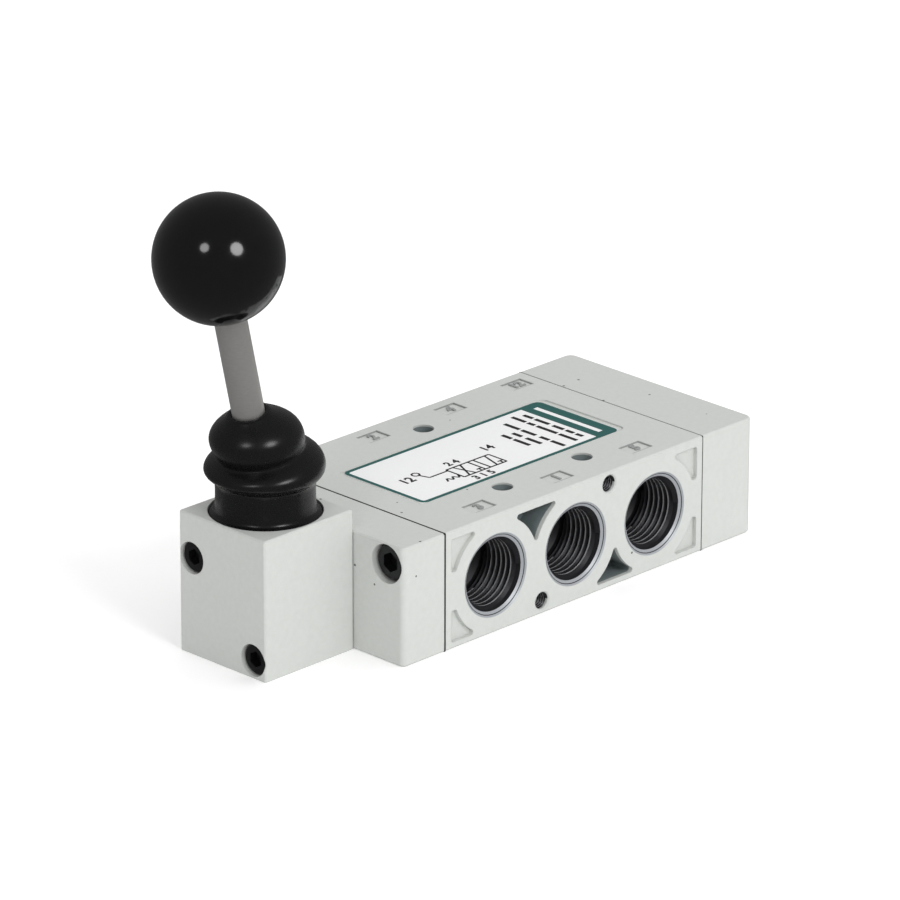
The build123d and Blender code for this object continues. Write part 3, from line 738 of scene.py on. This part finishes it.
@dataclass
class LabelPrint:
    """The label's border, header band, valve symbol, port numbers and plain bars in place of wording."""

    letters: Lettering
    border: float = 1.25 * MM
    corner: float = 2.0 * MM
    band: float = 7.4 * MM
    stroke: float = 0.58 * MM
    ink: float = 0.03 * MM
    box: float = 8.2 * MM
    box_height: float = 7.0 * MM
    symbol_left: float = -17.4 * MM
    symbol_middle: float = -6.3 * MM
    figure: float = 3.9 * MM
    weight: float = 0.14 * MM
    grip_radius: float = 1.1 * MM
    grip_sides: int = 16
    bar_width: float = 1.35 * MM

    def build(self) -> None:
        """Prints the label."""
        low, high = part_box("label_plate")
        top = high[2]
        self._border(low, high, top)
        self._symbol(top)
        self._bars(top)

    def _border(self, low: Vector, high: Vector, top: float) -> None:
        """Prints the rounded border and the header band.

        Args:
            low: The label's lowest corner.
            high: Its highest corner.
            top: Its top face.
        """
        shape = plate_ring((high[0] - low[0], high[1] - low[1]), self.border, self.ink, self.corner)
        middle = ((low[0] + high[0]) / 2, (low[1] + high[1]) / 2, top)
        bmesh.ops.translate(shape, vec=middle, verts=shape.verts)
        self.letters.shop.piece("label_border", shape, LABEL_GREEN, "label_film", ROOT)
        band = bmesh.new()
        right = high[0] - self.border
        centre = right - self.band / 2 + self.border / 2
        reach = self.border * 0.9
        Lettering.bar(band, (centre, low[1] + reach), (centre, high[1] - reach), self.band, top,
                      self.ink * 0.8)
        self.letters.shop.piece("label_band", band, LABEL_GREEN, "label_film", ROOT)
        rule = bmesh.new()
        half = (high[1] - low[1]) / 2 - 3.2 * MM
        Lettering.bar(rule, (centre, -half), (centre, half), 1.6 * MM, top + self.ink * 0.8, self.ink * 0.5)
        self.letters.shop.piece("label_band_rule", rule, LABEL_WHITE, "label_film", ROOT)

    def _symbol(self, top: float) -> None:
        """Prints the two-box valve symbol with its lever and spring, and the port numbers round it.

        Args:
            top: The label's top face.
        """
        ink = bmesh.new()
        first = self.symbol_left
        y = self.symbol_middle
        half = self.box_height / 2

        def line(a: tuple[float, float], b: tuple[float, float]) -> None:
            """Adds one stroke of the symbol."""
            Lettering.bar(ink, a, b, self.stroke, top, self.ink)

        for k in range(3):
            line((first + k * self.box, y - half), (first + k * self.box, y + half))
        for edge in (-half, half):
            line((first, y + edge), (first + 2 * self.box, y + edge))
        for k, lean in ((0, 1.0), (1, -1.0)):
            start = first + k * self.box
            line((start + 0.25 * self.box, y - half), (start + (0.45 + 0.2 * lean) * self.box, y + half))
            line((start + 0.55 * self.box, y - half), (start + (0.55 - 0.25 * lean) * self.box, y + half))
            stub = start + 0.85 * self.box
            line((stub, y - half), (stub, y - half + 1.5 * MM))
            line((stub - 0.8 * MM, y - half + 1.5 * MM), (stub + 0.8 * MM, y - half + 1.5 * MM))
        for k in range(5):
            rise = 0.9 * MM if k % 2 == 0 else -0.9 * MM
            left = first - 5.5 * MM + k * 1.1 * MM
            line((left, y - half + 1.6 * MM - rise), (left + 1.1 * MM, y - half + 1.6 * MM + rise))
        line((first - 7.0 * MM, y + 0.8 * half), (first, y + 0.8 * half))
        line((first - 7.0 * MM, y + 0.8 * half), (first - 8.0 * MM, y + half + 2.4 * MM))
        grip = (first - 8.2 * MM, y + half + 3.5 * MM)
        turns = [2 * math.pi * k / self.grip_sides for k in range(self.grip_sides + 1)]
        ring = [(grip[0] + self.grip_radius * math.cos(turn), grip[1] + self.grip_radius * math.sin(turn))
                for turn in turns]
        for a, b in zip(ring, ring[1:]):
            line(a, b)
        self.letters.shop.piece("label_symbol", ink, LABEL_BLACK, "label_film", ROOT)
        middle = first + 0.6 * self.box
        for name, text, px, py, share in (
            ("label_working_ports", "2 4", middle, y + half + 2.6 * MM, 0.95),
            ("label_supply_ports", "3 1 5", middle, y - half - 2.6 * MM, 0.95),
            ("label_left_pilot", "12", first - 13.0 * MM, y + half + 1.8 * MM, 1.2),
            ("label_right_pilot", "14", first + 2 * self.box + 3.2 * MM, y + half + 3.6 * MM, 1.1),
        ):
            self.letters.word(name, text, (px, py, top), self.figure * share, self.ink, LABEL_BLACK,
                              "label_film", self.weight)

    def _bars(self, top: float) -> None:
        """Prints plain broken bars where a maker's wording would be.

        Args:
            top: The label's top face.
        """
        ink = bmesh.new()
        rows = (
            (27.0, ((11.0, 7.4), (6.6, 1.2), (-0.2, -4.4), (-5.2, -8.2), (-9.0, -11.6))),
            (23.6, ((12.2, 6.9), (6.1, 3.4), (2.6, -5.1), (-5.9, -12.6))),
            (18.4, ((10.0, 4.2), (3.4, -2.0), (-3.6, -7.1), (-7.9, -13.0))),
            (15.0, ((3.6, 0.0), (-1.6, -7.4))),
            (11.9, ((4.6, 0.9), (0.1, -6.0))),
        )
        for x, parts in rows:
            for start, end in parts:
                Lettering.bar(ink, (x * MM, start * MM), (x * MM, end * MM), self.bar_width, top, self.ink)
        self.letters.shop.piece("label_bars", ink, LABEL_BLACK, "label_film", ROOT)


@dataclass
class PortNumbers:
    """The cast numbers in the recesses of the top face, with painted shade along the walls of each recess.
    """

    letters: Lettering
    floor_depth: float = 0.4 * MM
    size: float = 4.6 * MM
    front_inset: float = 7.4 * MM
    rear_inset: float = 6.4 * MM
    length: float = 8.0 * MM
    width: float = 5.6 * MM
    recess_shade_width: float = 0.26 * MM
    recess_shade_rise: float = 0.36 * MM
    rise: float = 0.38 * MM
    weight: float = 0.14 * MM

    def build(self) -> None:
        """Makes each number and the painted shade along its recess's walls."""
        low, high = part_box("valve_body")
        floor = high[2] - self.floor_depth
        front = low[1] + self.front_inset
        rear = high[1] - self.rear_inset
        rows = (("3", -30.0, front), ("1", 0.0, front), ("5", 31.0, front),
                ("2", -14.0, rear), ("4", 16.0, rear), ("12", 42.4, rear))
        corners = bmesh.new()
        for text, x, y in rows:
            self.letters.word(f"port_number_{text}", text, (x * MM, y, floor), self.size, self.rise,
                              NUMBER_TONE_AND_RECESS_SHADE, "body_paint", self.weight)
            self._corner(corners, x * MM, y, floor)
        self.letters.shop.piece("number_recess_painted_shade", corners, NUMBER_TONE_AND_RECESS_SHADE, "body_paint", ROOT)

    def _corner(self, shape: bmesh.types.BMesh, x: float, y: float, floor: float) -> None:
        """Lays painted shade along three walls of a recess.

        Args:
            shape: The bmesh added to.
            x: The recess's middle in X.
            y: The recess's middle in Y.
            floor: The height of its floor.
        """
        # Painted shade: darker strips along the right, far and near walls, widest on the right.
        right = x + self.length / 2 - self.recess_shade_width / 2
        near = y - self.width / 2 + self.recess_shade_width / 2
        far = y + self.width / 2 - self.recess_shade_width / 2
        left = x - self.length / 2 + self.recess_shade_width / 2
        for start, end, share in (((right, near), (right, far), 1.0), ((left, far), (right, far), 0.8),
                                  ((left, near), (right, near), 0.6)):
            Lettering.bar(shape, start, end, self.recess_shade_width * share, floor, self.recess_shade_rise)


@dataclass
class Lever:
    """The ball knob and the rubber boot, on the leaning lever."""

    shop: Workshop
    pivot: Vector
    tilt: float = math.radians(12.6)
    knob_distance: float = 74.07 * MM
    knob_radius: float = 17.5 * MM
    flat_radius: float = 5.75 * MM
    rim_break: float = 0.35 * MM
    wall: float = 1.2 * MM
    bend_start: float = 49.0 * MM
    bend_end: float = 68.5 * MM
    turn_end: float = 60.0 * MM

    def knob(self) -> None:
        """Makes the polished ball, flat where the rod enters."""
        shape = bmesh.new()
        bmesh.ops.create_uvsphere(shape, u_segments=96, v_segments=64, radius=self.knob_radius)
        drop = math.sqrt(self.knob_radius**2 - self.flat_radius**2)
        cut = bmesh.ops.bisect_plane(shape, geom=shape.verts[:] + shape.edges[:] + shape.faces[:],
                                     plane_co=(0, 0, -drop), plane_no=(0, 0, -1), clear_outer=True)
        rim = [item for item in cut["geom_cut"] if isinstance(item, bmesh.types.BMEdge)]
        bmesh.ops.holes_fill(shape, edges=rim, sides=0)
        bmesh.ops.bevel(shape, geom=rim, offset=self.rim_break, segments=3, profile=0.5, affect="EDGES",
                        material=-1)
        place = Matrix.Translation(self.pivot) @ Matrix.Rotation(-self.tilt, 4, "Y")
        place = place @ Matrix.Translation((0, 0, self.knob_distance))
        bmesh.ops.transform(shape, matrix=place, verts=shape.verts)
        ball = self.shop.piece("knob_ball", shape, PHENOLIC, "knob_phenolic", LEVER)
        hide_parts("ball_knob")

    def boot(self) -> None:
        """Makes the bellows as one closed rubber wall, leaning with the lever."""
        outline = [(15.28, 38.42), (15.28, 39.7), (14.9, 40.05), (14.0, 40.25), (13.55, 40.9), (13.4, 44.1),
                   (13.4, 48.4), (13.85, 49.3), (14.9, 50.1), (16.1, 51.5), (16.38, 53.0), (15.9, 54.6),
                   (14.5, 56.0), (12.8, 57.0), (11.9, 57.6), (12.0, 58.5), (12.4, 60.0), (12.55, 61.7),
                   (12.45, 63.2), (11.9, 64.7), (10.7, 66.2), (8.9, 67.6), (7.1, 68.8), (6.0, 69.7),
                   (5.6, 70.2)]
        inner = [(max(radius - self.wall / MM, 4.45), height) for radius, height in outline[3:]]
        inner = [(14.1, 38.42)] + [(12.35, 39.4)] + inner[1:]
        points = outline + inner[::-1]
        shape = bmesh.new()
        verts = [shape.verts.new((radius * MM, 0, height * MM)) for radius, height in points]
        edges = [shape.edges.new((verts[k], verts[(k + 1) % len(verts)])) for k in range(len(verts))]
        bmesh.ops.spin(shape, geom=verts + edges, axis=(0, 0, 1), cent=(0, 0, 0), angle=2 * math.pi,
                       steps=64, use_merge=True)
        bmesh.ops.remove_doubles(shape, verts=shape.verts, dist=1e-7)
        for vert in shape.verts:
            lean = self._share(vert.co.z, self.bend_end)
            turn = self._share(vert.co.z, self.turn_end)
            arm = Vector((0, 0, vert.co.z - self.pivot.z))
            ring = Vector((vert.co.x, vert.co.y, 0))
            middle = Matrix.Rotation(-self.tilt * lean, 3, "Y") @ arm + self.pivot
            vert.co = middle + Matrix.Rotation(-self.tilt * turn, 3, "Y") @ ring
        boot = self.shop.piece("rubber_boot", shape, BOOT_RUBBER, "boot_rubber", None, smooth=60.0)
        finer = boot.modifiers.new("smooth_wall", "SUBSURF")
        finer.levels = 1
        finer.render_levels = 1
        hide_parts("boot")
        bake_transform(boot)


    def _share(self, height: float, end: float) -> float:
        """How far the bend has gone at a height, eased at both ends.

        Args:
            height: The height.
            end: The height where the bend is complete.

        Returns:
            0 at the bend's start and 1 at its end.
        """
        share = min(max((height - self.bend_start) / (end - self.bend_start), 0.0), 1.0)
        return share * share * (3 - 2 * share)


@dataclass
class ReturnSpring:
    """The coil spring that the spool squeezes as the lever is pulled."""

    shop: Workshop
    axis_height: float = AXIS_HEIGHT
    coil_radius: float = 6.2 * MM
    wire_radius: float = 0.6 * MM
    turns: int = 5
    steps: int = 40

    def build(self) -> None:
        """Winds the coil."""
        low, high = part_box("return_spring")
        left = low[0] + self.wire_radius
        length = high[0] - low[0] - 2 * self.wire_radius
        shape = bmesh.new()
        disc = bmesh.ops.create_circle(shape, cap_ends=True, segments=10, radius=self.wire_radius)["verts"]
        bmesh.ops.rotate(shape, matrix=Matrix.Rotation(math.pi / 2, 3, "X"), verts=disc)
        bmesh.ops.translate(shape, vec=(self.coil_radius, 0, 0), verts=disc)
        count = self.turns * self.steps
        bmesh.ops.spin(shape, geom=shape.faces[:], axis=(0, 0, 1), cent=(0, 0, 0),
                       dvec=(0, 0, length / count), angle=self.turns * 2 * math.pi, steps=count)
        place = Matrix.Translation((left, 0, self.axis_height)) @ Matrix.Rotation(math.pi / 2, 4, "Y")
        bmesh.ops.transform(shape, matrix=place, verts=shape.verts)
        spring = self.shop.piece("spring_coil", shape, SPRING_STEEL, "spring_steel", None)
        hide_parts("return_spring")
        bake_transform(spring)


@dataclass
class Studio:
    """The pale floor, the lights and the camera."""

    eye: tuple[float, float, float] = (-1.2906, -1.2598, 0.7429)
    forward: tuple[float, float, float] = (0.6627, 0.6535, -0.3658)
    lens: float = 284.33
    roll: float = math.radians(0.12)

    def build(self) -> None:
        """Sets the scene round the valve."""
        scene = bpy.context.scene
        scene.view_settings.view_transform = "Standard"
        world = bpy.data.worlds.new("studio")
        world.use_nodes = True
        self._soft_room(world.node_tree)
        scene.world = world
        shape = bmesh.new()
        bmesh.ops.create_grid(shape, x_segments=1, y_segments=1, size=6.0)
        mesh = bpy.data.meshes.new("floor")
        shape.to_mesh(mesh)
        shape.free()
        floor = bpy.data.objects.new("floor", mesh)
        scene.collection.objects.link(floor)
        paper = Finish("floor_paper", (0.97, 0.97, 0.97), roughness=0.9, colour_spread=0.0, bump=0.0)
        sheet = paper.build()
        glow = sheet.node_tree.nodes["Principled BSDF"]
        glow.inputs["Emission Color"].default_value = (1.0, 1.0, 1.0, 1.0)
        glow.inputs["Emission Strength"].default_value = 0.17
        mesh.materials.append(sheet)
        floor.visible_glossy = False
        self._lamp("left_softbox", (-3.945, -1.170, 3.079), 1.3, 28.0)
        self._lamp("right_softbox", (-0.525, -4.107, 2.716), 1.85, 76.0)
        data = bpy.data.cameras.new("camera")
        data.lens = self.lens
        data.sensor_width = 36.0
        data.clip_end = 30.0
        camera = bpy.data.objects.new("camera", data)
        scene.collection.objects.link(camera)
        turn = Vector(self.forward).to_track_quat("-Z", "Y").to_matrix().to_4x4()
        camera.matrix_world = Matrix.Translation(self.eye) @ turn @ Matrix.Rotation(self.roll, 4, "Z")
        scene.camera = camera

    @staticmethod
    def _soft_room(tree: bpy.types.NodeTree) -> None:
        """Makes a white room whose reflections are dim, as in a studio with dark surroundings.

        Args:
            tree: The world's node tree.
        """
        room = tree.nodes["Background"]
        room.inputs["Color"].default_value = (1.0, 1.0, 1.0, 1.0)
        Studio._grade(tree, room)
        dim = tree.nodes.new("ShaderNodeBackground")
        dim.inputs["Color"].default_value = (1.0, 1.0, 1.0, 1.0)
        dim.inputs["Strength"].default_value = 0.17
        white = tree.nodes.new("ShaderNodeBackground")
        white.inputs["Color"].default_value = (1.0, 1.0, 1.0, 1.0)
        white.inputs["Strength"].default_value = 1.1
        path = tree.nodes.new("ShaderNodeLightPath")
        first = tree.nodes.new("ShaderNodeMixShader")
        tree.links.new(path.outputs["Is Glossy Ray"], first.inputs[0])
        tree.links.new(room.outputs[0], first.inputs[1])
        tree.links.new(dim.outputs[0], first.inputs[2])
        second = tree.nodes.new("ShaderNodeMixShader")
        tree.links.new(path.outputs["Is Camera Ray"], second.inputs[0])
        tree.links.new(first.outputs[0], second.inputs[1])
        tree.links.new(white.outputs[0], second.inputs[2])
        tree.links.new(second.outputs[0], tree.nodes["World Output"].inputs["Surface"])

    @staticmethod
    def _grade(tree: bpy.types.NodeTree, room: bpy.types.Node) -> None:
        """Makes the room brighter overhead and darker at the lever's end.

        Args:
            tree: The world's node tree.
            room: The background that is graded.
        """
        coords = tree.nodes.new("ShaderNodeTexCoord")
        split = tree.nodes.new("ShaderNodeSeparateXYZ")
        tree.links.new(coords.outputs["Generated"], split.inputs[0])
        level = None
        for axis, share, base in (("X", 0.44, 0.63), ("Z", 0.26, 0.0)):
            step = tree.nodes.new("ShaderNodeMath")
            step.operation = "MULTIPLY_ADD"
            tree.links.new(split.outputs[axis], step.inputs[0])
            step.inputs[1].default_value = share
            if level is None:
                step.inputs[2].default_value = base
            else:
                tree.links.new(level, step.inputs[2])
            level = step.outputs[0]
        tree.links.new(level, room.inputs["Strength"])

    @staticmethod
    def _lamp(name: str, place: tuple[float, float, float], size: float, power: float) -> None:
        """Adds a round soft light that faces the valve.

        Args:
            name: The light's name.
            place: Where it stands.
            size: Its diameter.
            power: Its power in watts.
        """
        data = bpy.data.lights.new(name, "AREA")
        data.shape = "DISK"
        data.size = size
        data.energy = power
        lamp = bpy.data.objects.new(name, data)
        bpy.context.scene.collection.objects.link(lamp)
        lamp.location = place
        lamp.rotation_euler = (Vector((-0.03, 0, 0.04)) - Vector(place)).to_track_quat("-Z", "Y").to_euler()


def main() -> None:
    """Builds and dresses the valve in its studio."""
    logging.basicConfig(level=logging.INFO, format="%(name)s: %(message)s")
    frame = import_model()
    hinge = next(joint for joint in frame["record"]["behaviour"]["joints"] if joint["name"] == "lever_tilt")
    front = tuple((x * MM, Side.FRONT.value) for x in FRONT_PORTS)
    rear = tuple((x * MM, Side.REAR.value) for x in REAR_PORTS)
    shop = Workshop()
    Castings(shop, front + rear).build(frame["nodes"])
    GasketLips(shop).build()
    Threads(shop, front + rear).build()
    letters = Lettering(shop)
    LabelPrint(letters).build()
    PortNumbers(letters).build()
    lever = Lever(shop, Vector(hinge["pos_m"]))
    lever.knob()
    lever.boot()
    ReturnSpring(shop).build()
    Studio().build()


if __name__ == "__main__":
    main()
